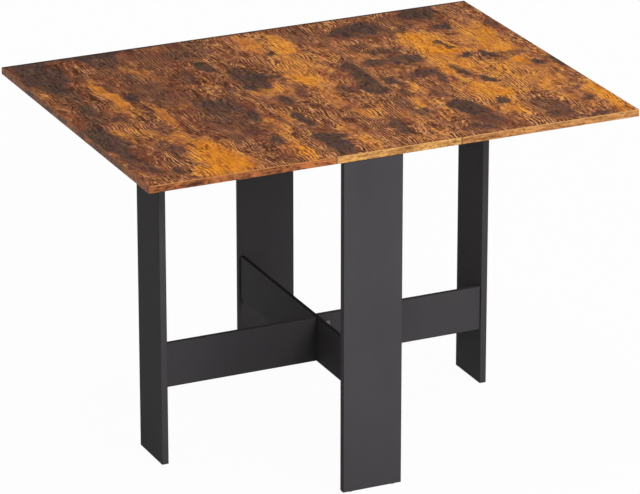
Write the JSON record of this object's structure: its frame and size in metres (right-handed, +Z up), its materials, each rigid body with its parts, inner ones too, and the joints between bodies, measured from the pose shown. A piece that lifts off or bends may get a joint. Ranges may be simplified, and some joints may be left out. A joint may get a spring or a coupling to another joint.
{
  "type": "gateleg table",
  "caption": "Rectangular gateleg table: a narrow fixed centre on board legs, hinged drop leaves, and swing-out gates of leg and rails that hold the raised leaves up.",
  "frame": {"origin": "on the floor, under the middle of the open top", "axes": "+X along the open table towards the right leaf, +Y from the front leg to the rear leg, +Z up"},
  "size_m": [1.0956, 0.806, 0.74],
  "materials": {
    "rustic_board": "rustic brown printed melamine on chipboard, fine embossed grain, satin",
    "rustic_edging": "rustic brown printed edge band, satin",
    "charcoal_board": "charcoal black melamine on chipboard, satin",
    "beech": "turned beech, raw",
    "cast_zinc": "die-cast zinc, tumbled",
    "plated_steel": "zinc-plated steel, satin",
    "black_plated_steel": "black zinc plated steel, satin",
    "black_plastic": "moulded polyethylene, matt"
  },
  "bodies": {
    "frame": {"centre_top": "rustic_board", "centre_top_edging": "rustic_edging", "fixed_leg_glides": "black_plastic", "fixed_lower_rail": "charcoal_board", "fixed_rail_dowels": "beech", "fixed_upper_rail": "charcoal_board", "front_leg": "charcoal_board", "gate_hinge_fixed_plates": "black_plated_steel", "gate_hinge_fixed_screws": "black_plated_steel", "gate_hinge_pins": "black_plated_steel", "leaf_hinge_centre_plates": "black_plated_steel", "leaf_hinge_centre_screws": "black_plated_steel", "leaf_hinge_pins": "black_plated_steel", "leg_bracket_screws": "black_plated_steel", "leg_brackets": "black_plated_steel", "leg_top_cam_bolts": "plated_steel", "leg_top_cam_locks": "cast_zinc", "leg_top_dowels": "beech", "rear_leg": "charcoal_board", "top_bracket_screws": "black_plated_steel", "top_brackets": "black_plated_steel"},
    "left_gate": {"left_gate_dowels": "beech", "left_gate_glides": "black_plastic", "left_gate_hinge_plates": "black_plated_steel", "left_gate_hinge_screws": "black_plated_steel", "left_gate_leg": "charcoal_board", "left_gate_lower_rail": "charcoal_board", "left_gate_upper_rail": "charcoal_board"},
    "right_gate": {"right_gate_dowels": "beech", "right_gate_glides": "black_plastic", "right_gate_hinge_plates": "black_plated_steel", "right_gate_hinge_screws": "black_plated_steel", "right_gate_leg": "charcoal_board", "right_gate_lower_rail": "charcoal_board", "right_gate_upper_rail": "charcoal_board"},
    "left_leaf": {"left_leaf": "rustic_board", "left_leaf_edging": "rustic_edging", "left_leaf_hinge_plates": "black_plated_steel", "left_leaf_hinge_screws": "black_plated_steel"},
    "right_leaf": {"right_leaf": "rustic_board", "right_leaf_edging": "rustic_edging", "right_leaf_hinge_plates": "black_plated_steel", "right_leaf_hinge_screws": "black_plated_steel"}
  },
  "joints": [
    {"name": "left_gate_swing", "type": "hinge", "parent": "frame", "child": "left_gate", "pos_m": [-0.00825, 0.00175, 0.178], "axis": [0, 0, -1], "range_deg": [0, 90]},
    {"name": "right_gate_swing", "type": "hinge", "parent": "frame", "child": "right_gate", "pos_m": [0.00825, -0.00175, 0.178], "axis": [0, 0, -1], "range_deg": [0, 90]},
    {"name": "left_leaf_lift", "type": "hinge", "parent": "frame", "child": "left_leaf", "pos_m": [-0.1404, 0, 0.72125], "axis": [0, 1, 0], "range_deg": [0, 2]},
    {"name": "right_leaf_lift", "type": "hinge", "parent": "frame", "child": "right_leaf", "pos_m": [0.1404, 0, 0.72125], "axis": [0, -1, 0], "range_deg": [0, 2]}
  ]
}
